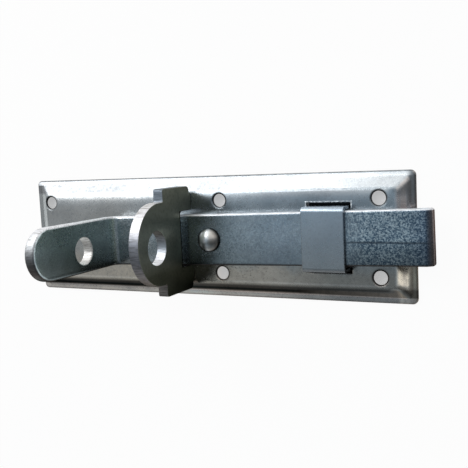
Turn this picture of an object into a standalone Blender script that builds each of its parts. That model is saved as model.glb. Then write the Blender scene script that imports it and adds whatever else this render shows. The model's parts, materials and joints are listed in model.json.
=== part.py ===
"""Zinc-plated padbolt lying on its back: +X is the bolt's throw, +Y the top edge, +Z out of the door.

A pressed backplate carries a padlock ear, tenoned and peened through it, and a keeper strap clinched
through two slots. A flat bar, cranked into a tab at one end, slides through the ear's notch and the
keeper. A rivet in the bar meets the ear when the bolt is drawn back.
"""
import math

import bmesh
import bpy

MM = 0.001

# Fits
GAP = 0.3 * MM                      # between pieces that touch on the real object
BAR_SIDE_CLEARANCE = 0.3 * MM       # turned bar to the keeper's legs and to the notch's sides
BAR_FACE_CLEARANCE = 0.5 * MM       # bar to the keeper's web
NOTCH_FACE_CLEARANCE = 3.3 * MM     # bar to the notch's outer wall, less than the rivet's head
SLOT_END_CLEARANCE = 0.6 * MM       # keeper leg to each end of its slot
SLOT_OUTER_CLEARANCE = 1.5 * MM     # keeper leg to the outer side of its slot

# Backplate, a pressed sheet with a raised middle and a sloped border
PLATE_LENGTH = 210.0 * MM
PLATE_WIDTH = 60.0 * MM
SHEET = 1.5 * MM
PLATEAU_HEIGHT = 4.5 * MM           # outer face of the raised middle above the door
FLANGE = 2.3 * MM                   # flat rim round the border
BORDER = 7.5 * MM                   # rim to the plateau's edge
CORNER_RADIUS = 2.4 * MM
FLANGE_BEND_RADIUS = 1.2 * MM
PLATEAU_BEND_RADIUS = 2.4 * MM
RIM_EDGE_RADIUS = 0.3 * MM

# Screw holes, two rows of three
SCREW_HOLE_DIAMETER = 6.5 * MM
SCREW_HOLE_CHAMFER = 0.5 * MM
SCREW_ROW_INSET = 12.0 * MM         # rim to each row
SCREW_LEFT_INSET = 10.8 * MM
SCREW_RIGHT_INSET = 16.0 * MM
SCREW_MIDDLE_X = 9.5 * MM           # from the plate's centre

# Bolt, a flat bar cranked outward into a tab
BAR_WIDTH = 25.0 * MM
BAR_THICKNESS = 5.5 * MM
BAR_EDGE_RADIUS = 1.1 * MM
BEND_RADIUS = 3.0 * MM              # inside of the crank
BOLT_OVERHANG = 9.3 * MM            # past the plate's right rim, as photographed
BOLT_TURN = math.radians(1.0)       # about +Z, the way it lies in its slack in the photograph
BOLT_DROP = 0.7 * MM                # its centre line below the plate's, at the plate's middle
TIP_SLOPE_LENGTH = 3.2 * MM
TIP_SLOPE_DEPTH = 1.8 * MM
TAB_REACH = 74.6 * MM               # tab's round end above the door
TAB_HOLE_DIAMETER = 13.0 * MM
TAB_HOLE_DROP = 1.7 * MM            # below the bar's centre line
PADLOCK_HEIGHT = 38.2 * MM          # both padlock holes above the door; thrown, one lies within the other
PADLOCK_HOLE_CHAMFER = 0.4 * MM
THROW = 36.3 * MM                   # from the photographed place until the tab meets the ear

# Padlock ear, a thick plate standing across the backplate
EAR_THICKNESS = 5.0 * MM
EAR_X = -8.7 * MM                   # its middle, from the plate's centre
EAR_BASE_SETBACK = 0.3 * MM         # base's end inside the plateau's edge
EAR_BASE_HEIGHT = 1.3 * MM          # lip under the overhanging foot
EAR_FOOT_OVERHANG = 3.4 * MM        # foot's end past its base
EAR_FOOT_RADIUS = 2.6 * MM
EAR_SHOULDER_HEIGHT = 31.2 * MM     # above the door
EAR_SHOULDER_RADIUS = 1.2 * MM
EAR_ROOT_RADIUS = 0.8 * MM
EAR_ARC_HEIGHT = 34.8 * MM          # centre of the round end above the door
EAR_ARC_RADIUS = 19.4 * MM
EAR_HOLE_DIAMETER = 16.0 * MM
EAR_HOLE_DROP = 1.3 * MM            # below the plate's centre line
EAR_EDGE_RADIUS = 0.45 * MM
NOTCH_CORNER_RADIUS = 1.5 * MM
TENON_LENGTH = 4.6 * MM
TENON_SHOULDER = 0.4 * MM           # tenon's face inside the ear's face
TENON_HEAD_OVERHANG = 1.0 * MM
TENON_HEAD_THICKNESS = 1.7 * MM

# Keeper, a strap bent over the bar
STRAP_WIDTH = 20.0 * MM
STRAP_THICKNESS = 1.5 * MM
STRAP_BEND_RADIUS = 0.7 * MM        # inside of each bend
STRAP_RIGHT_INSET = 39.5 * MM       # plate's right rim to its middle
STRAP_FOOT_LENGTH = 4.2 * MM        # clinched foot past the leg
STRAP_EDGE_RADIUS = 0.25 * MM

# Stop rivet
RIVET_TO_EAR = 13.4 * MM            # rivet's axis to the ear's right face, as photographed
RIVET_HEAD_DIAMETER = 11.6 * MM
RIVET_HEAD_HEIGHT = 4.4 * MM
RIVET_HEAD_LIP = 0.6 * MM
RIVET_SHANK_DIAMETER = 5.0 * MM
RIVET_TAIL_DIAMETER = 8.6 * MM
RIVET_TAIL_THICKNESS = 1.7 * MM

# Facets
ARC_STEP = math.radians(9.0)
TURNED_STEPS = 40
BEND_STEPS = 4

# Levels above the door
plate_under_z = PLATEAU_HEIGHT - SHEET
ear_base_z = PLATEAU_HEIGHT + GAP
rivet_tail_z = PLATEAU_HEIGHT + GAP
bar_back_z = rivet_tail_z + RIVET_TAIL_THICKNESS + GAP
bar_face_z = bar_back_z + BAR_THICKNESS
notch_wall_z = bar_face_z + NOTCH_FACE_CLEARANCE
web_inner_z = bar_face_z + BAR_FACE_CLEARANCE

# Places along the plate, from its centre, and the bolt's along its own centre line
ear_left_x = EAR_X - EAR_THICKNESS / 2
ear_right_x = EAR_X + EAR_THICKNESS / 2
strap_x = PLATE_LENGTH / 2 - STRAP_RIGHT_INSET
turn_slope = math.tan(BOLT_TURN)
tab_inner_x = ear_left_x - GAP - BAR_WIDTH / 2 * turn_slope - THROW
bolt_tip_x = PLATE_LENGTH / 2 + BOLT_OVERHANG
rivet_x = ear_right_x + RIVET_TO_EAR
tenon_thickness = EAR_THICKNESS - 2 * TENON_SHOULDER

# The bar across the plate: its half width, and how far it strays where the ear and the keeper hold it
turned_half_width = BAR_WIDTH / 2 / math.cos(BOLT_TURN)
stray_at_ear = abs(EAR_X * turn_slope - BOLT_DROP) + EAR_THICKNESS / 2 * turn_slope
stray_at_strap = abs(strap_x * turn_slope - BOLT_DROP) + STRAP_WIDTH / 2 * turn_slope

# Places across the plate
plateau_half_width = PLATE_WIDTH / 2 - BORDER
screw_row_y = PLATE_WIDTH / 2 - SCREW_ROW_INSET
notch_half_width = turned_half_width + stray_at_ear + BAR_SIDE_CLEARANCE
ear_base_y = plateau_half_width - EAR_BASE_SETBACK
ear_foot_y = ear_base_y + EAR_FOOT_OVERHANG
tenon_y = (notch_half_width + ear_base_y) / 2
leg_inner_y = turned_half_width + stray_at_strap + BAR_SIDE_CLEARANCE
leg_outer_y = leg_inner_y + STRAP_THICKNESS

# The whole object's box is centred on the origin along X, so the plate sits back by half of what the
# turned bar's rounded corner reaches past its rim
corner_x = bolt_tip_x - BAR_EDGE_RADIUS
corner_y = BAR_WIDTH / 2 - BAR_EDGE_RADIUS
bolt_reach_x = corner_x * math.cos(BOLT_TURN) + corner_y * math.sin(BOLT_TURN) + BAR_EDGE_RADIUS
plate_x = (PLATE_LENGTH / 2 - bolt_reach_x) / 2


def clear_scene():
    for scene_object in list(bpy.data.objects):
        bpy.data.objects.remove(scene_object, do_unlink=True)


def new_collection(name):
    collection = bpy.data.collections.new(name)
    bpy.context.scene.collection.children.link(collection)
    return collection


def steel(name, colour, roughness):
    """Zinc-plated steel, from bright to dull."""
    material = bpy.data.materials.new(name)
    material.use_nodes = True
    shader = material.node_tree.nodes["Principled BSDF"]
    shader.inputs["Base Color"].default_value = (*colour, 1.0)
    shader.inputs["Metallic"].default_value = 1.0
    shader.inputs["Roughness"].default_value = roughness
    return material


def rounded(corners, closed=True):
    """Points of a polyline whose corners, given as (x, y, radius), are replaced by arcs."""
    points = []
    count = len(corners)
    for index, (x, y, radius) in enumerate(corners):
        at_end = not closed and index in (0, count - 1)
        if radius <= 0 or at_end:
            points.append((x, y))
            continue
        before = corners[index - 1]
        after = corners[(index + 1) % count]
        heading_in = math.atan2(y - before[1], x - before[0])
        heading_out = math.atan2(after[1] - y, after[0] - x)
        turn = (heading_out - heading_in + math.pi) % (2 * math.pi) - math.pi
        side = math.copysign(1.0, turn)
        reach = radius * math.tan(abs(turn) / 2)
        start_x = x - reach * math.cos(heading_in)
        start_y = y - reach * math.sin(heading_in)
        centre_x = start_x - side * radius * math.sin(heading_in)
        centre_y = start_y + side * radius * math.cos(heading_in)
        steps = max(BEND_STEPS, round(abs(turn) / ARC_STEP / 2))
        for step in range(steps + 1):
            angle = heading_in + turn * step / steps
            points.append((centre_x + side * radius * math.sin(angle),
                           centre_y - side * radius * math.cos(angle)))
    return points


def arc(centre_x, centre_y, radius, start, end):
    """Points of an arc from one angle to another, in radians."""
    steps = max(2, round(abs(end - start) / ARC_STEP))
    angles = [start + (end - start) * step / steps for step in range(steps + 1)]
    return [(centre_x + radius * math.cos(angle), centre_y + radius * math.sin(angle)) for angle in angles]


def circle(centre_x, centre_y, radius):
    return arc(centre_x, centre_y, radius, 0.0, 2 * math.pi)[:-1]


def outline_solid(name, loops, thickness, rotation, collection):
    """A flat outline, with any holes as further loops, extruded to both sides of its own plane."""
    curve = bpy.data.curves.new(name, "CURVE")
    curve.dimensions = "2D"
    curve.fill_mode = "BOTH"
    curve.extrude = thickness / 2
    for loop in loops:
        spline = curve.splines.new("POLY")
        spline.points.add(len(loop) - 1)
        for point, (x, y) in zip(spline.points, loop):
            point.co = (x, y, 0.0, 1.0)
        spline.use_cyclic_u = True
    guide = bpy.data.objects.new(name + "_outline", curve)
    collection.objects.link(guide)
    guide.rotation_euler = rotation
    bpy.context.view_layer.update()
    evaluated = guide.evaluated_get(bpy.context.evaluated_depsgraph_get())
    mesh = bpy.data.meshes.new_from_object(evaluated)
    solid = bpy.data.objects.new(name, mesh)
    collection.objects.link(solid)
    solid.matrix_world = guide.matrix_world
    bpy.data.objects.remove(guide, do_unlink=True)
    body = bmesh.new()
    body.from_mesh(mesh)
    bmesh.ops.remove_doubles(body, verts=body.verts, dist=0.01 * MM)
    bmesh.ops.recalc_face_normals(body, faces=body.faces)
    body.to_mesh(mesh)
    body.free()
    mesh.name = name
    return solid


def turned_solid(name, profile, collection):
    """A profile of (radius, height) points, top to bottom, turned about the object's own Z axis."""
    mesh = bpy.data.meshes.new(name)
    edges = [(index, index + 1) for index in range(len(profile) - 1)]
    mesh.from_pydata([(radius, 0.0, height) for radius, height in profile], edges, [])
    solid = bpy.data.objects.new(name, mesh)
    collection.objects.link(solid)
    screw = solid.modifiers.new("turn", "SCREW")
    screw.steps = TURNED_STEPS
    screw.render_steps = TURNED_STEPS
    screw.use_merge_vertices = True
    screw.merge_threshold = 0.005 * MM
    return solid


def box(name, size, place, collection):
    mesh = bpy.data.meshes.new(name)
    body = bmesh.new()
    bmesh.ops.create_cube(body, size=1.0)
    bmesh.ops.scale(body, vec=size, verts=body.verts)
    body.to_mesh(mesh)
    body.free()
    solid = bpy.data.objects.new(name, mesh)
    collection.objects.link(solid)
    solid.location = place
    return solid


def as_cutter(cutter, parent):
    cutter.hide_render = True
    cutter.display_type = "WIRE"
    cutter.parent = parent
    return cutter


def combine(target, cutter, operation="DIFFERENCE"):
    boolean = target.modifiers.new(cutter.name, "BOOLEAN")
    boolean.operation = operation
    boolean.solver = "EXACT"
    boolean.object = cutter


def soften(target, width, segments):
    bevel = target.modifiers.new("edges", "BEVEL")
    bevel.width = width
    bevel.segments = segments
    bevel.limit_method = "ANGLE"
    bevel.angle_limit = math.radians(35.0)
    bevel.use_clamp_overlap = True


def smooth(target):
    target.data.shade_smooth()
    target.data.set_sharp_from_angle(angle=math.radians(35.0))


ALONG_X = (math.pi / 2, 0.0, math.pi / 2)   # an outline of (y, z) points, extruded along X
ALONG_Y = (math.pi / 2, 0.0, 0.0)           # an outline of (x, z) points, extruded along Y


def hole_cutter(name, radius, chamfer, half_length, collection):
    """A spool that drills a hole and chamfers both of its mouths, which lie at plus and minus half_length."""
    over = 1.0 * MM
    profile = [(0.0, half_length + over), (radius + chamfer + over, half_length + over),
               (radius, half_length - chamfer), (radius, -half_length + chamfer),
               (radius + chamfer + over, -half_length - over), (0.0, -half_length - over)]
    return turned_solid(name, profile, collection)


def rounded_rectangle(half_x, half_y, radius):
    return rounded([(half_x, -half_y, radius), (half_x, half_y, radius),
                    (-half_x, half_y, radius), (-half_x, -half_y, radius)])


def make_backplate(parts, cutters, frame):
    """The pressed skin is a stack of rounded rectangles that follow the border's section inward."""
    section = rounded([(0.0, SHEET, 0.0), (FLANGE, SHEET, FLANGE_BEND_RADIUS),
                       (BORDER, PLATEAU_HEIGHT, PLATEAU_BEND_RADIUS),
                       (BORDER + PLATEAU_BEND_RADIUS, PLATEAU_HEIGHT, 0.0)], closed=False)
    mesh = bpy.data.meshes.new("backplate")
    skin = bmesh.new()
    rings = []
    for inset, height in section:
        loop = rounded_rectangle(PLATE_LENGTH / 2 - inset, PLATE_WIDTH / 2 - inset, CORNER_RADIUS)
        rings.append([skin.verts.new((x, y, height)) for x, y in loop])
    for outer, inner in zip(rings, rings[1:]):
        for index in range(len(outer)):
            following = (index + 1) % len(outer)
            skin.faces.new((outer[index], outer[following], inner[following], inner[index]))
    skin.faces.new(rings[-1])
    skin.to_mesh(mesh)
    skin.free()
    plate = bpy.data.objects.new("backplate", mesh)
    parts.objects.link(plate)
    plate.parent = frame
    sheet = plate.modifiers.new("sheet", "SOLIDIFY")
    sheet.thickness = SHEET
    sheet.offset = -1.0
    sheet.use_even_offset = True
    soften(plate, RIM_EDGE_RADIUS, 2)

    columns = {"left": SCREW_LEFT_INSET - PLATE_LENGTH / 2, "middle": SCREW_MIDDLE_X,
               "right": PLATE_LENGTH / 2 - SCREW_RIGHT_INSET}
    for column, x in columns.items():
        for row, y in (("upper", screw_row_y), ("lower", -screw_row_y)):
            cutter = hole_cutter(f"screw_hole_{column}_{row}", SCREW_HOLE_DIAMETER / 2,
                                 SCREW_HOLE_CHAMFER, SHEET / 2, cutters)
            cutter.location = (x, y, PLATEAU_HEIGHT - SHEET / 2)
            combine(plate, as_cutter(cutter, frame))

    slot_inner_y = leg_inner_y - GAP
    slot_outer_y = leg_outer_y + SLOT_OUTER_CLEARANCE
    for side, sign in (("upper", 1), ("lower", -1)):
        keeper_slot = box(f"keeper_slot_{side}",
                          (STRAP_WIDTH + 2 * SLOT_END_CLEARANCE, slot_outer_y - slot_inner_y, 3 * SHEET),
                          (strap_x, sign * (slot_inner_y + slot_outer_y) / 2, PLATEAU_HEIGHT), cutters)
        combine(plate, as_cutter(keeper_slot, frame))
        tenon_slot = box(f"tenon_slot_{side}",
                         (tenon_thickness + 2 * GAP, TENON_LENGTH + 2 * GAP, 3 * SHEET),
                         (EAR_X, sign * tenon_y, PLATEAU_HEIGHT), cutters)
        combine(plate, as_cutter(tenon_slot, frame))
    return plate


def ear_half_outline():
    """Right-hand half of the ear seen along the plate, from the notch's wall round to the arc's start."""
    lip_z = ear_base_z + EAR_BASE_HEIGHT
    return [
        (notch_half_width, notch_wall_z, NOTCH_CORNER_RADIUS),
        (notch_half_width, ear_base_z, 0.0),
        (ear_base_y, ear_base_z, 0.0),
        (ear_base_y, lip_z, 0.0),
        (ear_foot_y, lip_z, EAR_FOOT_RADIUS),
        (ear_foot_y, EAR_SHOULDER_HEIGHT, EAR_SHOULDER_RADIUS),
        (EAR_ARC_RADIUS, EAR_SHOULDER_HEIGHT, EAR_ROOT_RADIUS),
        (EAR_ARC_RADIUS, EAR_ARC_HEIGHT, 0.0),
    ]


def make_ear(parts, cutters, frame):
    right = ear_half_outline()
    left = [(-y, z, radius) for y, z, radius in reversed(right)]
    crown = [(y, z, 0.0) for y, z in arc(0.0, EAR_ARC_HEIGHT, EAR_ARC_RADIUS, 0.0, math.pi)[1:-1]]
    outline = rounded(right + crown + left)
    padlock_hole = circle(-EAR_HOLE_DROP, PADLOCK_HEIGHT, EAR_HOLE_DIAMETER / 2)
    ear = outline_solid("padlock_ear", [outline, padlock_hole], EAR_THICKNESS, ALONG_X, parts)
    ear.location = (EAR_X, 0.0, 0.0)
    ear.parent = frame
    soften(ear, EAR_EDGE_RADIUS, 2)

    head_top_z = plate_under_z - GAP
    shank_top_z = ear_base_z + EAR_BASE_HEIGHT
    shank_bottom_z = head_top_z - TENON_HEAD_THICKNESS / 2
    spread = 2 * TENON_HEAD_OVERHANG
    for side, sign in (("upper", 1), ("lower", -1)):
        shank = box(f"tenon_{side}", (tenon_thickness, TENON_LENGTH, shank_top_z - shank_bottom_z),
                    (EAR_X, sign * tenon_y, (shank_top_z + shank_bottom_z) / 2), cutters)
        combine(ear, as_cutter(shank, frame), "UNION")
        head = box(f"peened_head_{side}",
                   (tenon_thickness + spread, TENON_LENGTH + spread, TENON_HEAD_THICKNESS),
                   (EAR_X, sign * tenon_y, head_top_z - TENON_HEAD_THICKNESS / 2), cutters)
        soften(head, TENON_HEAD_THICKNESS / 4, 2)
        combine(ear, as_cutter(head, frame), "UNION")
    return ear


def make_keeper(parts, frame):
    web_outer_z = web_inner_z + STRAP_THICKNESS
    foot_top_z = plate_under_z - GAP
    foot_under_z = foot_top_z - STRAP_THICKNESS
    foot_tip_y = leg_outer_y + STRAP_FOOT_LENGTH
    outer_radius = STRAP_BEND_RADIUS + STRAP_THICKNESS
    outside = [(foot_tip_y, foot_under_z, 0.0), (foot_tip_y, foot_top_z, 0.0),
               (leg_outer_y, foot_top_z, STRAP_BEND_RADIUS), (leg_outer_y, web_outer_z, outer_radius)]
    inside = [(leg_inner_y, web_inner_z, STRAP_BEND_RADIUS), (leg_inner_y, foot_under_z, outer_radius)]
    outline = outside + [(-y, z, radius) for y, z, radius in reversed(outside)]
    outline += [(-y, z, radius) for y, z, radius in reversed(inside)] + inside
    keeper = outline_solid("keeper_strap", [rounded(outline)], STRAP_WIDTH, ALONG_X, parts)
    keeper.location = (strap_x, 0.0, 0.0)
    keeper.parent = frame
    soften(keeper, STRAP_EDGE_RADIUS, 2)
    return keeper


def make_bolt(parts, cutters, slide):
    """The cranked bar is its side profile, trimmed by the outline that rounds the tab's end."""
    tab_outer_x = tab_inner_x - BAR_THICKNESS
    over = 5.0 * MM
    side_profile = rounded([
        (bolt_tip_x, bar_back_z, 0.0),
        (bolt_tip_x, bar_face_z - TIP_SLOPE_DEPTH, 0.0),
        (bolt_tip_x - TIP_SLOPE_LENGTH, bar_face_z, 0.0),
        (tab_inner_x, bar_face_z, BEND_RADIUS),
        (tab_inner_x, TAB_REACH, 0.0),
        (tab_outer_x, TAB_REACH, 0.0),
        (tab_outer_x, bar_back_z, BEND_RADIUS + BAR_THICKNESS),
    ])
    bolt = outline_solid("bolt_bar", [side_profile], BAR_WIDTH + 2 * over, ALONG_Y, parts)
    bolt.parent = slide

    half = BAR_WIDTH / 2
    front = arc(0.0, TAB_REACH - half, half, 0.0, math.pi) + [(-half, -over), (half, -over)]
    length = bolt_tip_x - tab_outer_x + 2 * over
    envelope = outline_solid("tab_envelope", [front], length, ALONG_X, cutters)
    envelope.location = ((bolt_tip_x + tab_outer_x) / 2, 0.0, 0.0)
    combine(bolt, as_cutter(envelope, slide), "INTERSECT")
    soften(bolt, BAR_EDGE_RADIUS, 3)

    padlock_hole = hole_cutter("tab_padlock_hole", TAB_HOLE_DIAMETER / 2, PADLOCK_HOLE_CHAMFER,
                               BAR_THICKNESS / 2, cutters)
    padlock_hole.location = (tab_inner_x - BAR_THICKNESS / 2, -TAB_HOLE_DROP, PADLOCK_HEIGHT)
    padlock_hole.rotation_euler = (0.0, math.pi / 2, 0.0)
    combine(bolt, as_cutter(padlock_hole, slide))

    bore_radius = RIVET_SHANK_DIAMETER / 2 + GAP
    bore = turned_solid("rivet_bore", [(0.0, BAR_THICKNESS), (bore_radius, BAR_THICKNESS),
                                       (bore_radius, -BAR_THICKNESS), (0.0, -BAR_THICKNESS)], cutters)
    bore.location = (rivet_x, 0.0, (bar_back_z + bar_face_z) / 2)
    combine(bolt, as_cutter(bore, slide))
    return bolt


def make_rivet(parts, slide):
    """Domed head, shank through the bar and a peened tail that slides on the plateau."""
    head_radius = RIVET_HEAD_DIAMETER / 2
    seat_z = bar_face_z + GAP
    lip_z = seat_z + RIVET_HEAD_LIP
    rise = RIVET_HEAD_HEIGHT - RIVET_HEAD_LIP
    dome_radius = (head_radius ** 2 + rise ** 2) / (2 * rise)
    rim_angle = math.asin((dome_radius - rise) / dome_radius)
    dome = arc(0.0, lip_z + rise - dome_radius, dome_radius, math.pi / 2, rim_angle)
    dome[0] = (0.0, lip_z + rise)
    shank_radius = RIVET_SHANK_DIAMETER / 2
    tail_radius = RIVET_TAIL_DIAMETER / 2
    tail_top_z = bar_back_z - GAP
    tail_round = RIVET_TAIL_THICKNESS / 2
    profile = dome + [(head_radius, seat_z), (shank_radius, seat_z), (shank_radius, tail_top_z),
                      (tail_radius, tail_top_z), (tail_radius, rivet_tail_z + tail_round)]
    profile += arc(tail_radius - tail_round, rivet_tail_z + tail_round, tail_round, 0.0, -math.pi / 2)[1:]
    profile += [(0.0, rivet_tail_z)]
    rivet = turned_solid("stop_rivet", profile, parts)
    rivet.location = (rivet_x, 0.0, 0.0)
    rivet.parent = slide
    return rivet


def retraction():
    """How far the bolt draws back until the rivet's dome meets the notch's outer wall."""
    rise = RIVET_HEAD_HEIGHT - RIVET_HEAD_LIP
    dome_radius = ((RIVET_HEAD_DIAMETER / 2) ** 2 + rise ** 2) / (2 * rise)
    wall_over_seat = notch_wall_z - bar_face_z - GAP - RIVET_HEAD_LIP
    below_centre = dome_radius - rise + wall_over_seat
    touch_radius = math.sqrt(dome_radius ** 2 - below_centre ** 2)
    return RIVET_TO_EAR - touch_radius - GAP


def make_slide(parts, frame):
    """The bolt's joint: an empty that slides along the bolt's own centre line, limited to its real travel."""
    guide = bpy.data.objects.new("bolt_guide", None)
    parts.objects.link(guide)
    guide.parent = frame
    guide.location = (0.0, -BOLT_DROP, 0.0)
    guide.rotation_euler = (0.0, 0.0, BOLT_TURN)
    slide = bpy.data.objects.new("bolt_slide", None)
    parts.objects.link(slide)
    slide.parent = guide
    slide.empty_display_size = BAR_WIDTH
    travel = slide.constraints.new("LIMIT_LOCATION")
    travel.owner_space = "LOCAL"
    travel.use_min_x = True
    travel.use_max_x = True
    travel.min_x = -retraction()
    travel.max_x = THROW
    return slide


def main():
    clear_scene()
    parts = new_collection("padbolt")
    cutters = new_collection("padbolt_cutters")
    frame = bpy.data.objects.new("plate_centre", None)
    parts.objects.link(frame)
    frame.location = (plate_x, 0.0, 0.0)
    slide = make_slide(parts, frame)

    finishes = (
        (make_backplate(parts, cutters, frame), steel("zinc_plate", (0.52, 0.54, 0.57), 0.36)),
        (make_ear(parts, cutters, frame), steel("zinc_ear", (0.50, 0.51, 0.52), 0.40)),
        (make_keeper(parts, frame), steel("zinc_keeper", (0.55, 0.58, 0.61), 0.34)),
        (make_bolt(parts, cutters, slide), steel("zinc_bolt", (0.42, 0.46, 0.51), 0.42)),
        (make_rivet(parts, slide), steel("zinc_rivet", (0.60, 0.60, 0.58), 0.28)),
    )
    for piece, finish in finishes:
        piece.data.materials.append(finish)
        smooth(piece)


main()
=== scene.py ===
"""Looks of the zinc-plated padbolt: its plating, the pale floor, the studio light and the camera."""
import json
import math

import bpy
from mathutils import Matrix, Vector


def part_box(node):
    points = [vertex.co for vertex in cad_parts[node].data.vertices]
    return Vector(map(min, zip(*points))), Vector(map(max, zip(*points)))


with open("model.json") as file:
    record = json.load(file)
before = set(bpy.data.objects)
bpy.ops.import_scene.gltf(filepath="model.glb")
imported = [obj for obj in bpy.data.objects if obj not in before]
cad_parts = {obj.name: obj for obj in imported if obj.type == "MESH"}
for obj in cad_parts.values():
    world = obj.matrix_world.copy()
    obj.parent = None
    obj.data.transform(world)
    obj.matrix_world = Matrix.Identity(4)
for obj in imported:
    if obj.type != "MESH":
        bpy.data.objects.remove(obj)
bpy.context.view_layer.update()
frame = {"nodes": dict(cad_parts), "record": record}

MM = 0.001
NODES = frame["nodes"]
OPENINGS = {opening["name"]: opening["box_m"] for opening in frame["record"]["physics"]["openings"]}

# Camera, found by fitting the CAD sizes to the photograph
CAMERA_PLACE = (0.1725, 0.0415, 0.3296)
CAMERA_FORWARD = (-0.4396, -0.1097, -0.8915)
CAMERA_UP = (-0.0061, 0.9929, -0.1192)
CAMERA_LENS = 57.53                 # mm, on a sensor 36 mm wide
CAMERA_CLIP = 10.0 * MM             # the nearest that it sees

# Stage: depths are under the door plane, so that nothing flickers in the plate's rim
FLOOR_SIZE = 12.0
FLOOR_DEPTH = 0.20 * MM
FLOOR_GLOW = 0.95                   # how much of the floor is plain white to the eye; the rest takes shadow
FLOOR_COLOUR = (0.90, 0.90, 0.90, 1.0)
HOLLOW_DEPTH = 0.10 * MM            # the stretch in the plate's hollow, which is dim
HOLLOW_GLOW = 0.38
HOLLOW_MARGIN = -4.0 * MM
KEEPER_DEPTH = 0.05 * MM            # the dark stretch round the keeper, seen through its slots
KEEPER_GLOW = 0.0
KEEPER_MARGIN = 3.0 * MM

# Light: directions are from the object
KEY_WAY = (-0.55, 0.60, 0.58)
KEY_DISTANCE = 0.9
KEY_SIZE = 0.62
KEY_POWER = 3.4

# The studio's radiance, from -Y at 0 to +Y at 1, and how the side behind the camera dims it
SKY_TONES = ((0.02, (0.46, 0.46, 0.45)), (0.12, (0.42, 0.42, 0.42)), (0.27, (0.14, 0.14, 0.14)),
             (0.39, (0.40, 0.39, 0.36)), (0.46, (0.44, 0.44, 0.44)), (0.58, (0.60, 0.62, 0.64)),
             (0.76, (1.0, 1.01, 1.02)), (1.0, (1.0, 1.0, 1.0)))
DIM_SIDE = (0.62, -0.12, 0.775)
DIM_SIDE_RANGE = (0.3, 1.0)         # of the share of a direction that points there
UNDIMMED_RANGE = (0.12, 0.40)       # of Y, where the dimming ends
DIM_SIDE_TONES = ((0.0, (1.0, 1.0, 1.0)), (0.20, (0.74, 0.89, 1.0)), (0.43, (0.60, 0.73, 0.84)),
                  (0.75, (0.32, 0.36, 0.41)), (1.0, (0.30, 0.33, 0.36)))

# Places on the plating, in mm from the frame's origin where nothing else is said
MITRE_PLACE = 69.0                  # X less Y along the mitre of the border's upper right corner
BOLT_LINE_Y = -1.0                  # a drawn line on the bolt's face, past the keeper
NOTCH_WALL_Z = 15.6                 # the outer wall of the ear's notch
NOTCH_HALF_WIDTH = 13.6             # half the notch's width, and a little more
HOLE_RING_SHIFT = 0.20              # painted shade round a screw hole is wider above it
SLOT_END_GAP = 0.6                  # from the keeper's side to the end of its slot
SLOT_SIDE_INSET = 2.7               # from the tip of the keeper's foot back to the slot's outer side
SLOT_WIDTH = 3.5                    # from the slot's outer side towards the bolt
EAR_HOLE_WALL = (9.5, 10.5)         # from the middle of a padlock hole, just outside its wall
TAB_HOLE_WALL = (8.0, 9.0)

# Which axes count in a distance from an opening
ACROSS_PLATE = (1.0, 1.0, 0.0)
ACROSS_EAR = (0.0, 1.0, 1.0)

# Tones of bare steel; the cut sides carry painted light and shade, mostly bright above and dark below
EAR_CUT_PAINTED_LIGHT = ((-26.0, (0.24, 0.23, 0.22)), (-19.0, (0.28, 0.25, 0.23)), (-5.0, (0.27, 0.28, 0.31)),
                 (3.0, (0.35, 0.37, 0.41)), (9.0, (0.80, 0.80, 0.82)), (19.4, (0.94, 0.94, 0.94)),
                 (19.8, (0.25, 0.29, 0.33)), (26.0, (0.25, 0.29, 0.33)))
BOLT_CUT_PAINTED_LIGHT = ((-14.0, (0.07, 0.06, 0.055)), (-8.0, (0.11, 0.10, 0.095)), (-2.0, (0.20, 0.21, 0.22)),
                  (4.0, (0.54, 0.56, 0.57)), (10.0, (0.93, 0.94, 0.95)), (14.0, (0.95, 0.98, 1.00)))
TAB_HOLE_TONE = (0.80, 0.79, 0.76)
BOLT_LINE_TONE = (0.16, 0.20, 0.25)

# Patterns in the plating, in cells for each metre, and along each axis where they are streaks
CLOUDS = 90.0
MOTTLE = 620.0
CRYSTALS = 900.0
SPECKS = 1500.0
TONE_DRIFT = 38.0
BURR_BREAKS = 700.0
SMUDGES = (28.0, 55.0, 55.0)
DRAWN_LINES = (60.0, 2200.0, 2200.0)
TEAR_LINES = (180.0, 1500.0, 1500.0)
RUST_STREAKS = (260.0, 50.0, 50.0)

# Relief of the plating: strength and depth
DENT_RELIEF = (0.2, 0.5 * MM)
LINE_RELIEF = (0.15, 0.02 * MM)
MOTTLE_RELIEF = (0.35, 0.03 * MM)
TEAR_RELIEF = (0.6, 0.15 * MM)
SLOT_BURR_LEAN = 0.30               # towards +Y

# Shading of the imported facets
SAME_POINT = 0.001 * MM
CRISP_ANGLE = math.radians(32.0)
LARGE_FACE_WEIGHT = 90
EDGE_SAMPLES = 4

# Limits of a noise's usual values, and of a normal's share along an axis that it hardly or fully faces
NOISE_RANGE = (0.3, 0.7)
FACING_RANGE = (0.80, 0.97)

# Sockets of a Mix node
VALUE_PAIR = (2, 3)
VALUE_RESULT = 0
COLOUR_PAIR = (6, 7)
COLOUR_RESULT = 2


def link(tree, source, target):
    """Joins an output socket to an input socket."""
    tree.links.new(source, target)


def fill(tree, slot, value):
    """Gives an input a number, a colour as a triple, or another node's output."""
    if isinstance(value, (int, float)):
        slot.default_value = value
    elif isinstance(value, tuple):
        slot.default_value = (*value, 1.0)
    else:
        link(tree, value, slot)


def ramp(tree, factor, stops, interpolation="LINEAR"):
    """A colour ramp through (position, colour) stops."""
    node = tree.nodes.new("ShaderNodeValToRGB")
    node.color_ramp.interpolation = interpolation
    elements = node.color_ramp.elements
    while len(elements) < len(stops):
        elements.new(0.5)
    for element, (position, colour) in zip(elements, stops):
        element.position = position
        element.color = (*colour, 1.0)
    link(tree, factor, node.inputs["Fac"])
    return node.outputs["Color"]


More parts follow.
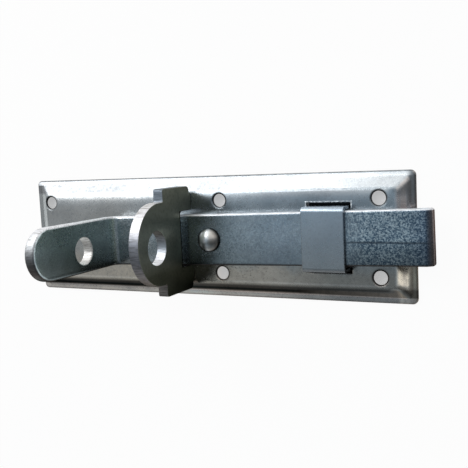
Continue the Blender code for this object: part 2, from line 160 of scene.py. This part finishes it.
def maths(tree, operation, *values):
    """A Math node on sockets and numbers."""
    node = tree.nodes.new("ShaderNodeMath")
    node.operation = operation
    for slot, value in zip(node.inputs, values):
        fill(tree, slot, value)
    return node.outputs["Value"]


def chain(tree, operation, first, *others):
    """One operation over any count of values."""
    result = first
    for other in others:
        result = maths(tree, operation, result, other)
    return result


def product(tree, *values):
    """Numbers multiplied."""
    return chain(tree, "MULTIPLY", *values)


def total(tree, *values):
    """Numbers added."""
    return chain(tree, "ADD", *values)


def remap(tree, value, low, high, to_low, to_high):
    """Brings a range of values to another, and holds it at both ends."""
    node = tree.nodes.new("ShaderNodeMapRange")
    for name, number in (("From Min", low), ("From Max", high), ("To Min", to_low), ("To Max", to_high)):
        node.inputs[name].default_value = number
    link(tree, value, node.inputs["Value"])
    return node.outputs["Result"]


def spread(tree, pattern, to_low, to_high):
    """Brings a noise's usual values to a range."""
    return remap(tree, pattern, *NOISE_RANGE, to_low, to_high)


def fade(tree, coordinate, start, end, before=0.0, after=1.0):
    """A number that changes as a coordinate goes from start to end, in mm."""
    return remap(tree, coordinate, start * MM, end * MM, before, after)


def profile(tree, coordinate, stops):
    """A colour that changes along a coordinate, through (mm, colour) stops."""
    low = stops[0][0]
    high = stops[-1][0]
    share = fade(tree, coordinate, low, high)
    return ramp(tree, share, [((at - low) / (high - low), colour) for at, colour in stops])


def mix(tree, factor, first, second, blend="MIX"):
    """Mixes two colours, each a socket or a triple, by a socket or a number."""
    node = tree.nodes.new("ShaderNodeMix")
    node.data_type = "RGBA"
    node.blend_type = blend
    fill(tree, node.inputs["Factor"], factor)
    for index, value in zip(COLOUR_PAIR, (first, second)):
        fill(tree, node.inputs[index], value)
    return node.outputs[COLOUR_RESULT]


def mix_value(tree, factor, first, second):
    """Mixes two values."""
    node = tree.nodes.new("ShaderNodeMix")
    fill(tree, node.inputs["Factor"], factor)
    for index, value in zip(VALUE_PAIR, (first, second)):
        fill(tree, node.inputs[index], value)
    return node.outputs[VALUE_RESULT]


def grey(level):
    """A neutral colour."""
    return (level, level, level)


def times(tree, first, second):
    """Two colours multiplied."""
    return mix(tree, 1.0, first, second, "MULTIPLY")


def capped(tree, colour):
    """A colour with no channel above 1."""
    return mix(tree, 1.0, colour, grey(1.0), "DARKEN")


def noise(tree, place, scale, detail=3.0, roughness=0.55, distortion=0.0):
    """Smooth noise, with a scale in cells for each metre."""
    node = tree.nodes.new("ShaderNodeTexNoise")
    for name, number in (("Scale", scale), ("Detail", detail), ("Roughness", roughness),
                         ("Distortion", distortion)):
        node.inputs[name].default_value = number
    link(tree, place, node.inputs["Vector"])
    return node.outputs["Fac"]


def stretched(tree, place, scale):
    """Coordinates scaled unevenly, for a grain that runs one way."""
    node = tree.nodes.new("ShaderNodeMapping")
    node.inputs["Scale"].default_value = scale
    link(tree, place, node.inputs["Vector"])
    return node.outputs["Vector"]


def streaked(tree, place, scale, **settings):
    """Noise stretched by a scale for each axis."""
    return noise(tree, stretched(tree, place, scale), 1.0, **settings)


def spangle(tree, place, scale):
    """Zinc crystals: one random value for each cell."""
    node = tree.nodes.new("ShaderNodeTexVoronoi")
    node.inputs["Scale"].default_value = scale
    link(tree, place, node.inputs["Vector"])
    split = tree.nodes.new("ShaderNodeSeparateColor")
    link(tree, node.outputs["Color"], split.inputs["Color"])
    return split.outputs["Red"]


def bump(tree, height, relief, normal):
    """A normal roughened by a height, with a relief's strength and depth."""
    strength, depth = relief
    node = tree.nodes.new("ShaderNodeBump")
    node.inputs["Strength"].default_value = strength
    node.inputs["Distance"].default_value = depth
    link(tree, height, node.inputs["Height"])
    link(tree, normal, node.inputs["Normal"])
    return node.outputs["Normal"]


def axes(tree, vector):
    """A vector's X, Y and Z."""
    split = tree.nodes.new("ShaderNodeSeparateXYZ")
    link(tree, vector, split.inputs["Vector"])
    return split.outputs


def leaning(tree, normal, amount):
    """A normal turned towards +Y."""
    sideways = tree.nodes.new("ShaderNodeCombineXYZ")
    link(tree, amount, sideways.inputs["Y"])
    tilted = tree.nodes.new("ShaderNodeVectorMath")
    tilted.operation = "ADD"
    link(tree, normal, tilted.inputs[0])
    link(tree, sideways.outputs["Vector"], tilted.inputs[1])
    unit = tree.nodes.new("ShaderNodeVectorMath")
    unit.operation = "NORMALIZE"
    link(tree, tilted.outputs["Vector"], unit.inputs[0])
    return unit.outputs["Vector"]


def opening_distance(tree, place, name, keep, shift=0.0):
    """How far a place lies from the middle of one of the record's openings, along the axes that are kept.
    The middle is first shifted along Y, by a length in mm."""
    low, high = (Vector(corner) for corner in OPENINGS[name])
    middle = (low + high) / 2 + Vector((0.0, shift * MM, 0.0))
    away = tree.nodes.new("ShaderNodeVectorMath")
    away.operation = "DISTANCE"
    link(tree, stretched(tree, place, keep), away.inputs[0])
    away.inputs[1].default_value = [share * at for share, at in zip(keep, middle)]
    return away.outputs["Value"]


def hole_shade_rings(tree, place):
    """Painted shade round the screw holes, standing in for their dark walls."""
    nearest = None
    for name in OPENINGS:
        if name.startswith("screw_hole"):
            distance = opening_distance(tree, place, name, ACROSS_PLATE, HOLE_RING_SHIFT)
            nearest = distance if nearest is None else maths(tree, "MINIMUM", nearest, distance)
    return profile(tree, nearest, [(3.0, grey(0.06)), (3.6, grey(0.10)), (4.1, grey(0.8)), (4.5, grey(1.0))])


def plate_tones_and_painted_reflection(tree, place, along):
    """Passivation and painted reflection: cool above the bolt, warm below it, and a painted highlight on the
    upper border's right.
    """
    upper = profile(tree, along["X"], [(-110.0, (0.88, 0.90, 0.89)), (-60.0, (0.85, 0.84, 0.81)),
                                       (0.0, (0.79, 0.85, 0.88)), (60.0, (0.66, 0.69, 0.71)),
                                       (100.0, (0.85, 0.91, 0.93))])
    # painted reflection: the lower tones lighten just right of the ear
    lower = profile(tree, along["X"], [(-110.0, (1.05, 0.98, 0.88)), (-40.0, (1.16, 1.05, 0.90)),
                                       (-10.0, (1.75, 1.55, 1.32)), (-2.0, (1.60, 1.38, 1.16)),
                                       (5.0, (1.25, 1.06, 0.88)), (35.0, (1.20, 1.01, 0.85)),
                                       (62.0, (0.76, 0.68, 0.60)), (100.0, (0.78, 0.70, 0.62))])
    # painted highlight: the upper border is dimmer on its left and lighter on its right
    border = profile(tree, along["X"], [(-110.0, grey(0.60)), (10.0, (0.60, 0.61, 0.61)),
                                        (55.0, (1.14, 1.16, 1.16)), (90.0, (1.22, 1.24, 1.23))])
    drift = spread(tree, noise(tree, place, TONE_DRIFT, detail=4.0, distortion=0.8), -4.0 * MM, 4.0 * MM)
    film = mix(tree, fade(tree, total(tree, along["Y"], drift), -16.0, -6.0), lower, upper)
    return mix(tree, fade(tree, along["Y"], 22.5, 23.5), film, border)


def rust_and_painted_sheen(tree, place, along, film):
    """A film with a streaky rust stain over it, on the right border up to its upper mitre; its low end is
    lighter as painted reflection.
    """
    streaks = streaked(tree, place, RUST_STREAKS, detail=4.0)
    past_mitre = maths(tree, "SUBTRACT", along["X"], along["Y"])
    stain = product(tree, remap(tree, streaks, 0.33, 0.55, 0.25, 1.0),
                    fade(tree, along["X"], 91.0, 93.0, 0.0, 0.95),
                    fade(tree, past_mitre, MITRE_PLACE, MITRE_PLACE + 1.5))
    # painted reflection lightens the stain towards the border's low end
    rust = profile(tree, along["Y"], [(-24.0, (1.9, 1.6, 1.3)), (-20.0, (2.1, 1.8, 1.4)),
                                      (-10.0, (2.0, 1.65, 1.25)), (0.0, (1.10, 0.92, 0.82)),
                                      (14.0, (1.20, 0.96, 0.86)), (22.0, (1.25, 1.12, 1.02))])
    return mix(tree, stain, film, rust)


def painted_bend_shade(tree, along):
    """Painted shade and highlight along the plate's long bends: a black band on the lower slope, fading
    towards the right end, light flanges and dark rim lines.
    """
    # painted shade and highlight across the bends, flanges and rims
    lines = profile(tree, along["Y"], [(-30.0, grey(0.30)), (-29.3, (1.25, 1.26, 1.34)),
                                       (-27.6, (1.36, 1.37, 1.46)), (-26.9, grey(0.28)),
                                       (-26.3, (0.025, 0.031, 0.034)), (-25.3, (0.040, 0.050, 0.055)),
                                       (-24.2, grey(0.27)), (-23.0, grey(1.0)), (-22.0, grey(1.1)),
                                       (-21.5, grey(1.0)), (22.5, grey(1.0)), (27.3, grey(1.0)),
                                       (28.0, grey(1.3)), (29.2, grey(1.3)), (30.0, grey(0.2))])
    faded = profile(tree, along["X"], [(40.0, grey(0.0)), (66.0, grey(0.26)), (92.0, grey(0.45))])
    return mix(tree, 1.0, lines, faded, "LIGHTEN")


def plate_film_and_painted_light(tree, place):
    """The plate's tones and rust, with painted shade and highlight at its bends, rims and screw holes,
    darker on its right rim.
    """
    along = axes(tree, place)
    film = rust_and_painted_sheen(tree, place, along, plate_tones_and_painted_reflection(tree, place, along))
    # painted shade on the right rim's outer edge
    right_rim_shade = profile(tree, along["X"], [(96.0, grey(1.0)), (98.2, grey(0.55)), (99.4, grey(0.50)),
                                           (100.3, grey(0.22))])
    film = times(tree, film, right_rim_shade)
    film = times(tree, film, painted_bend_shade(tree, along))
    return times(tree, film, hole_shade_rings(tree, place))


def slot_burr(tree, place, along):
    """The burr round the keeper's upper slot, broken here and there: up to 1 on it, and 0 elsewhere."""
    low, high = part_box("keeper_strap")
    across = maths(tree, "ABSOLUTE", maths(tree, "SUBTRACT", along["X"], (low.x + high.x) / 2))
    slot_half_length = (high.x - low.x) / 2 + SLOT_END_GAP * MM
    slot_outer_y = high.y - SLOT_SIDE_INSET * MM
    past_end = maths(tree, "SUBTRACT", across, slot_half_length)
    past_side = maths(tree, "SUBTRACT", along["Y"], slot_outer_y)
    burr = profile(tree, maths(tree, "MAXIMUM", past_end, past_side),
                   [(-0.2, grey(0.0)), (0.0, grey(1.0)), (0.55, grey(1.0)), (0.75, grey(0.0))])
    beside_slot = fade(tree, past_side, -SLOT_WIDTH, 0.3 - SLOT_WIDTH)
    broken = remap(tree, noise(tree, place, BURR_BREAKS), 0.38, 0.55, 0.35, 1.0)
    return product(tree, burr, beside_slot, broken)


def plate_lean(tree, place):
    """How far the pressed sheet leans towards +Y: beside its long bends, softer than the solid's, on its
    upper rim, on the low end of its right border, which is a little dished, and on the slot's burr."""
    along = axes(tree, place)
    bends = profile(tree, along["Y"], [(-25.6, grey(0.0)), (-24.4, grey(0.30)), (-23.2, grey(0.40)),
                                       (-22.2, grey(0.20)), (-21.2, grey(0.0)), (12.5, grey(0.0)),
                                       (16.0, grey(0.037)), (19.0, grey(0.127)), (22.0, grey(0.27)),
                                       (22.7, grey(0.0))])
    bends = product(tree, bends, fade(tree, along["X"], -102.0, -97.0),
                    fade(tree, along["X"], 87.0, 92.0, 1.0, 0.0))
    low_end = profile(tree, along["Y"], [(-24.0, grey(0.0)), (-21.0, grey(1.0)), (-12.0, grey(0.9)),
                                         (-5.0, grey(0.40)), (18.0, grey(0.40)), (22.0, grey(0.0))])
    dished = product(tree, low_end, fade(tree, along["X"], 90.5, 92.5, 0.0, 0.30),
                     fade(tree, along["X"], 96.0, 97.5, 1.0, 0.0))
    rim = profile(tree, along["Y"], [(27.3, grey(0.0)), (27.8, grey(0.24)), (29.2, grey(0.24)),
                                     (29.6, grey(0.0))])
    rim = product(tree, rim, fade(tree, along["X"], 97.0, 99.5, 1.0, 0.0))
    burr = product(tree, slot_burr(tree, place, along), SLOT_BURR_LEAN)
    return total(tree, bends, dished, rim, burr)


def ear_film_and_painted_shade(tree, place):
    """Olive-grey, with painted shade darker towards the lower foot and a painted black contact shadow at the
    notch's edge.
    """
    along = axes(tree, place)
    # painted shade: darker towards the lower foot
    film = profile(tree, along["Y"],
                   [(-24.0, (0.12, 0.12, 0.11)), (-14.0, (0.34, 0.34, 0.30)), (-6.0, (0.92, 0.92, 0.88)),
                    (6.0, (1.02, 1.02, 0.98)), (12.0, (0.72, 0.72, 0.68)), (22.0, (0.62, 0.61, 0.56))])
    # painted contact shadow where the notch's edge meets the bolt
    darkening = profile(tree, along["Z"], [(NOTCH_WALL_Z - 0.5, grey(0.02)), (NOTCH_WALL_Z + 0.6, grey(0.04)),
                                       (NOTCH_WALL_Z + 1.0, grey(1.0))])
    over_notch = fade(tree, maths(tree, "ABSOLUTE", along["Y"]),
                      NOTCH_HALF_WIDTH, NOTCH_HALF_WIDTH + 0.5, 1.0, 0.0)
    return times(tree, film, mix(tree, over_notch, grey(1.0), darkening))


def bolt_tones_and_painted_light(tree, along):
    """Blue-grey under painted reflection and shade: light between the tab and the ear and up the tab, dark
    right of the ear and along the lower edge; brown at the tip.
    """
    # painted reflection along the bar: light left of the ear and dark just right of it
    lengthways = profile(tree, along["X"], [(-58.0, (1.02, 1.10, 1.08)), (-52.5, (0.98, 1.10, 1.06)),
                                            (-50.8, (1.42, 1.48, 1.44)), (-48.0, (1.85, 1.85, 1.80)),
                                            (-38.0, (1.75, 1.80, 1.78)), (-26.0, (1.25, 1.30, 1.30)),
                                            (-11.2, (0.68, 0.76, 0.72)), (1.0, (0.70, 0.76, 0.75)),
                                            (16.0, (0.90, 0.97, 1.0)), (40.0, (0.86, 0.95, 1.02)),
                                            (66.0, (0.84, 0.92, 0.96)), (98.0, (0.84, 0.92, 0.96)),
                                            (105.0, (0.64, 0.73, 0.82)), (106.6, (0.38, 0.45, 0.55)),
                                            (108.0, (0.46, 0.43, 0.46)), (108.8, (0.46, 0.37, 0.33)),
                                            (109.4, (0.34, 0.27, 0.24)), (110.0, (0.20, 0.16, 0.14))])
    # painted light: lighter up the tab
    upward = profile(tree, along["Z"], [(12.0, grey(1.0)), (14.0, grey(1.1)), (20.0, grey(0.72)),
                                        (36.0, grey(0.80)), (58.0, grey(1.35)), (75.0, grey(1.45))])
    # painted shade along the lower edge
    sideways = profile(tree, along["Y"], [(-13.8, grey(0.20)), (-12.0, grey(0.50)), (-11.2, grey(0.80)),
                                          (0.0, grey(1.0))])
    return times(tree, times(tree, lengthways, upward), sideways)


def bolt_film_and_painted_light(tree, place):
    """The bolt's tones and their painted light, with coarse specks and a drawn line past the keeper, and
    hardly any at the tip.
    """
    along = axes(tree, place)
    before_tip = fade(tree, along["X"], 106.5, 108.0, 1.0, 0.2)
    specks = ramp(tree, noise(tree, place, SPECKS, detail=3.0, roughness=0.7),
                  [(0.42, (0.27, 0.37, 0.48)), (0.50, (0.74, 0.84, 0.91)), (0.58, (1.76, 1.74, 1.66))])
    low_side = profile(tree, along["Y"], [(-12.0, grey(0.56)), (-5.0, grey(0.74)), (1.0, grey(1.15)),
                                          (12.0, grey(1.0))])
    speckled = product(tree, fade(tree, along["X"], 64.0, 80.0, 0.2, 1.0), before_tip)
    film = times(tree, bolt_tones_and_painted_light(tree, along),
                 mix(tree, speckled, grey(1.0), times(tree, specks, low_side)))
    from_line = maths(tree, "ABSOLUTE", maths(tree, "SUBTRACT", along["Y"], BOLT_LINE_Y * MM))
    line = product(tree, fade(tree, from_line, 0.1, 0.7, 0.85, 0.0), fade(tree, along["X"], 66.0, 74.0),
                   before_tip)
    return mix(tree, line, film, BOLT_LINE_TONE)


def bolt_calm(tree, place):
    """How much of the mottle shows: the tab's plating is smoother than the bar's."""
    return fade(tree, axes(tree, place)["Z"], 14.0, 22.0, 1.0, 0.30)


def rivet_painted_light(tree, place):
    """Painted light and shade on the dome: shade where it meets the bar, dark on its left, bright in its
    middle and above, and tan on its right.
    """
    along = axes(tree, place)
    low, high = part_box("stop_rivet")
    from_middle_x = maths(tree, "SUBTRACT", along["X"], (low.x + high.x) / 2)
    from_middle_y = maths(tree, "SUBTRACT", along["Y"], (low.y + high.y) / 2)
    lengthways = profile(tree, from_middle_x,
                         [(-5.0, grey(0.15)), (-3.5, grey(0.30)), (-2.0, (1.18, 1.23, 1.29)),
                          (0.8, (1.18, 1.24, 1.29)), (2.4, (0.85, 0.82, 0.78)), (5.0, (0.55, 0.50, 0.46))])
    sideways = profile(tree, from_middle_y, [(-5.0, grey(0.50)), (-2.5, grey(0.66)), (-0.5, grey(1.04)),
                                             (1.0, grey(1.18)), (5.0, grey(1.20))])
    upward = profile(tree, along["Z"], [(12.6, grey(0.05)), (13.6, grey(0.30)), (15.2, grey(1.0))])
    return times(tree, times(tree, lengthways, sideways), upward)


def keeper_painted_shade(tree, place):
    """Painted shade: black inside its slots, and dimmer towards the lower leg."""
    along = axes(tree, place)
    sideways = profile(tree, along["Y"], [(-15.0, (0.30, 0.29, 0.28)), (-13.9, (0.50, 0.48, 0.46)),
                                          (-13.2, (0.88, 0.84, 0.80)), (0.0, (0.90, 0.90, 0.90)),
                                          (15.0, (1.02, 1.06, 1.09))])
    upward = profile(tree, along["Z"], [(2.5, grey(0.02)), (4.3, grey(0.04)), (5.0, grey(1.0))])
    return times(tree, sideways, upward)


def ear_cut(tree, normal, place):
    """Where the ear's outline was cut: every side but its two flat faces."""
    return remap(tree, maths(tree, "ABSOLUTE", axes(tree, normal)["X"]), *FACING_RANGE, 1.0, 0.0)


def bolt_cut(tree, normal, place):
    """Where the bar's stock was cut: its two long sides and the tab's round end."""
    facing = axes(tree, normal)
    on_side = remap(tree, maths(tree, "ABSOLUTE", facing["Y"]), 0.20, 0.55, 0.0, 1.0)
    on_rim = remap(tree, maths(tree, "ABSOLUTE", facing["X"]), *FACING_RANGE, 1.0, 0.0)
    on_tab = fade(tree, axes(tree, place)["Z"], 24.0, 30.0)
    return maths(tree, "MAXIMUM", on_side, product(tree, on_rim, on_tab))


def ear_bare_painted_light(tree, place):
    """Painted light and shade on the ear's outline, mostly bright above and dark below, and on the wall of
    its hole: dark above and bright below.
    """
    along = axes(tree, place)
    outline = profile(tree, along["Y"], EAR_CUT_PAINTED_LIGHT)
    # painted shade and light on the hole's wall
    wall = profile(tree, along["Y"], [(-10.0, (0.95, 0.94, 0.93)), (-7.0, (0.86, 0.87, 0.90)),
                                      (-2.0, (0.46, 0.51, 0.56)), (2.0, (0.32, 0.34, 0.36)),
                                      (4.5, (0.10, 0.10, 0.09)), (9.0, (0.08, 0.08, 0.07))])
    from_hole = opening_distance(tree, place, "ear_padlock_hole", ACROSS_EAR)
    return mix(tree, fade(tree, from_hole, *EAR_HOLE_WALL, 1.0, 0.0), outline, wall)


def bolt_bare_painted_light(tree, place):
    """Painted light and shade on the long sides and the round end, bright above and dark below, and the
    bright wall of the tab's hole.
    """
    sides = profile(tree, axes(tree, place)["Y"], BOLT_CUT_PAINTED_LIGHT)
    from_hole = opening_distance(tree, place, "tab_padlock_hole", ACROSS_EAR)
    return mix(tree, fade(tree, from_hole, *TAB_HOLE_WALL, 1.0, 0.0), sides, TAB_HOLE_TONE)


def zinc(name, light, dark, gloss, dull, film, crystals=0.25, speckle=0.55, edge_radius=0.5 * MM,
         lean=None, calm=None, cut=None, bare=None):
    """Zinc plating: a mottle between two tones, crystals, drawn grain, dull smudges and dents, under a film
    with painted light.
    Where it was cut it is matte, with tear lines and tones of its own, which carry painted light and shade."""
    material = bpy.data.materials.new(name)
    material.use_nodes = True
    tree = material.node_tree
    shader = tree.nodes["Principled BSDF"]
    shader.inputs["Metallic"].default_value = 1.0
    coordinates = tree.nodes.new("ShaderNodeTexCoord")
    place = coordinates.outputs["Object"]

    clouds = noise(tree, place, CLOUDS, detail=5.0, roughness=0.6)
    mottle = noise(tree, place, MOTTLE, detail=3.0, roughness=0.6)
    smudge = streaked(tree, place, SMUDGES, detail=4.0, distortion=0.6)
    lines = streaked(tree, place, DRAWN_LINES, detail=2.0)
    cells = spangle(tree, place, CRYSTALS)
    fine = total(tree, product(tree, mottle, 1.0 - crystals), product(tree, cells, crystals))
    if calm is not None:
        fine = mix_value(tree, calm(tree, place), clouds, fine)

    film_and_painted_light = film(tree, place)
    specks = ramp(tree, fine, [(0.30, (0.62, 0.64, 0.67)), (0.50, (0.94, 0.95, 0.96)), (0.72, grey(1.0))])
    colour = mix(tree, spread(tree, clouds, 0.0, 1.0), dark, light)
    colour = mix(tree, speckle, colour, specks, "MULTIPLY")
    colour = capped(tree, times(tree, colour, film_and_painted_light))
    rough = total(tree, spread(tree, smudge, gloss, dull), spread(tree, fine, 0.05, -0.05))

    edge = tree.nodes.new("ShaderNodeBevel")
    edge.samples = EDGE_SAMPLES
    edge.inputs["Radius"].default_value = edge_radius
    surface = edge.outputs["Normal"]
    if lean is not None:
        surface = leaning(tree, surface, lean(tree, place))
    for height, relief in ((smudge, DENT_RELIEF), (lines, LINE_RELIEF), (fine, MOTTLE_RELIEF)):
        surface = bump(tree, height, relief, surface)

    if cut is not None:
        on_cut = cut(tree, coordinates.outputs["Normal"], place)
        tears = streaked(tree, place, TEAR_LINES, detail=4.0, roughness=0.7)
        darkening = ramp(tree, tears, [(0.35, (0.50, 0.49, 0.48)), (0.55, (0.95, 0.95, 0.97)), (0.7, grey(1.0))])
        colour = mix(tree, on_cut, colour, times(tree, bare(tree, place), darkening))
        rough = mix_value(tree, on_cut, rough, spread(tree, tears, 0.56, 0.46))
        surface = bump(tree, product(tree, tears, on_cut), TEAR_RELIEF, surface)

    link(tree, colour, shader.inputs["Base Color"])
    link(tree, capped(tree, film_and_painted_light), shader.inputs["Specular Tint"])
    link(tree, rough, shader.inputs["Roughness"])
    link(tree, surface, shader.inputs["Normal"])
    return material


def dress(name, material):
    """Gives a CAD node its finish, and shades its facets as the smooth faces that they stand for."""
    node = NODES[name]
    node.material_slots[0].material = material
    mesh = node.data
    normals = mesh.attributes.get("custom_normal")
    if normals is not None:
        mesh.attributes.remove(normals)
    for face in mesh.polygons:
        face.use_smooth = True
    weld = node.modifiers.new("weld", "WELD")
    weld.merge_threshold = SAME_POINT
    crisp = node.modifiers.new("crisp_edges", "EDGE_SPLIT")
    crisp.split_angle = CRISP_ANGLE
    flat = node.modifiers.new("flat_faces", "WEIGHTED_NORMAL")
    flat.weight = LARGE_FACE_WEIGHT


def pale_floor(name, glow):
    """Plain white to the eye and to the metal, by the share of glow; the rest is paint that takes shadow."""
    material = bpy.data.materials.new(name)
    material.use_nodes = True
    tree = material.node_tree
    tree.nodes.clear()
    output = tree.nodes.new("ShaderNodeOutputMaterial")
    blend = tree.nodes.new("ShaderNodeMixShader")
    pale = tree.nodes.new("ShaderNodeBsdfDiffuse")
    pale.inputs["Color"].default_value = FLOOR_COLOUR
    white = tree.nodes.new("ShaderNodeEmission")
    rays = tree.nodes.new("ShaderNodeLightPath").outputs
    seen = chain(tree, "MAXIMUM", rays["Is Camera Ray"], rays["Is Glossy Ray"], rays["Is Transmission Ray"])
    link(tree, product(tree, seen, glow), blend.inputs["Fac"])
    link(tree, pale.outputs["BSDF"], blend.inputs[1])
    link(tree, white.outputs["Emission"], blend.inputs[2])
    link(tree, blend.outputs["Shader"], output.inputs["Surface"])
    return material


def lay_floor(name, low, high, depth, glow):
    """A level piece of floor between two corners, a little under the door plane."""
    centre = ((low[0] + high[0]) / 2, (low[1] + high[1]) / 2, -depth)
    bpy.ops.mesh.primitive_plane_add(size=1.0, location=centre)
    piece = bpy.context.object
    piece.name = name
    piece.scale = (high[0] - low[0], high[1] - low[1], 1.0)
    piece.data.materials.append(pale_floor(name, glow))


def lay_floor_under(node, margin, depth, glow):
    """A piece of floor under a CAD node's box, grown by a margin, seen only through the plate's holes."""
    low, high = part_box(node)
    lay_floor(f"floor_under_{node}", (low.x - margin, low.y - margin), (high.x + margin, high.y + margin),
              depth, glow)


def make_floor():
    """The floor, and its two stretches under the object."""
    reach = FLOOR_SIZE / 2
    lay_floor("floor", (-reach, -reach), (reach, reach), FLOOR_DEPTH, FLOOR_GLOW)
    lay_floor_under("backplate", HOLLOW_MARGIN, HOLLOW_DEPTH, HOLLOW_GLOW)
    lay_floor_under("keeper_strap", KEEPER_MARGIN, KEEPER_DEPTH, KEEPER_GLOW)


def make_key_light():
    """A soft box above the plate's upper left."""
    data = bpy.data.lights.new("key", "AREA")
    data.shape = "SQUARE"
    data.size = KEY_SIZE
    data.energy = KEY_POWER
    lamp = bpy.data.objects.new("key", data)
    bpy.context.scene.collection.objects.link(lamp)
    way = Vector(KEY_WAY).normalized()
    lamp.location = way * KEY_DISTANCE
    lamp.rotation_euler = way.to_track_quat("Z", "Y").to_euler()


def make_world():
    """Studio surroundings: bright behind the plate's upper edge, and dim below it and behind the camera."""
    world = bpy.data.worlds.new("studio")
    bpy.context.scene.world = world
    world.use_nodes = True
    tree = world.node_tree
    way = tree.nodes.new("ShaderNodeTexCoord").outputs["Generated"]
    upward = axes(tree, way)["Y"]
    sky = ramp(tree, remap(tree, upward, -1.0, 1.0, 0.0, 1.0), SKY_TONES, "EASE")
    facing = tree.nodes.new("ShaderNodeVectorMath")
    facing.operation = "DOT_PRODUCT"
    link(tree, way, facing.inputs[0])
    facing.inputs[1].default_value = DIM_SIDE
    shade = ramp(tree, remap(tree, facing.outputs["Value"], *DIM_SIDE_RANGE, 0.0, 1.0), DIM_SIDE_TONES)
    shade = mix(tree, remap(tree, upward, *UNDIMMED_RANGE, 0.0, 1.0), shade, grey(1.0))
    link(tree, times(tree, sky, shade), tree.nodes["Background"].inputs["Color"])


def make_camera():
    """The photograph's camera."""
    data = bpy.data.cameras.new("camera")
    data.lens = CAMERA_LENS
    data.clip_start = CAMERA_CLIP
    camera = bpy.data.objects.new("camera", data)
    bpy.context.scene.collection.objects.link(camera)
    back = -Vector(CAMERA_FORWARD).normalized()
    right = Vector(CAMERA_UP).cross(back).normalized()
    up = back.cross(right)
    turn = Matrix((right, up, back)).transposed()
    camera.matrix_world = Matrix.Translation(CAMERA_PLACE) @ turn.to_4x4()
    bpy.context.scene.camera = camera


bpy.context.scene.view_settings.view_transform = "Standard"
dress("backplate", zinc("zinc_plate", light=(0.60, 0.62, 0.64), dark=(0.46, 0.48, 0.50), gloss=0.18,
                        dull=0.28, film=plate_film_and_painted_light, edge_radius=1.2 * MM, lean=plate_lean))
dress("padlock_ear", zinc("zinc_ear", light=(0.42, 0.44, 0.38), dark=(0.33, 0.35, 0.30), gloss=0.34,
                          dull=0.46, film=ear_film_and_painted_shade, cut=ear_cut, bare=ear_bare_painted_light))
dress("keeper_strap", zinc("zinc_keeper", light=(0.50, 0.56, 0.62), dark=(0.45, 0.51, 0.57), gloss=0.26,
                           dull=0.32, film=keeper_painted_shade, crystals=0.2, speckle=0.45))
dress("bolt_bar", zinc("zinc_bolt", light=(0.54, 0.57, 0.60), dark=(0.42, 0.45, 0.48), gloss=0.22, dull=0.34,
                       film=bolt_film_and_painted_light, crystals=0.4, calm=bolt_calm, cut=bolt_cut, bare=bolt_bare_painted_light))
dress("stop_rivet", zinc("zinc_rivet", light=(0.66, 0.66, 0.64), dark=(0.58, 0.58, 0.57), gloss=0.30,
                         dull=0.36, film=rivet_painted_light))
make_floor()
make_world()
make_key_light()
make_camera()
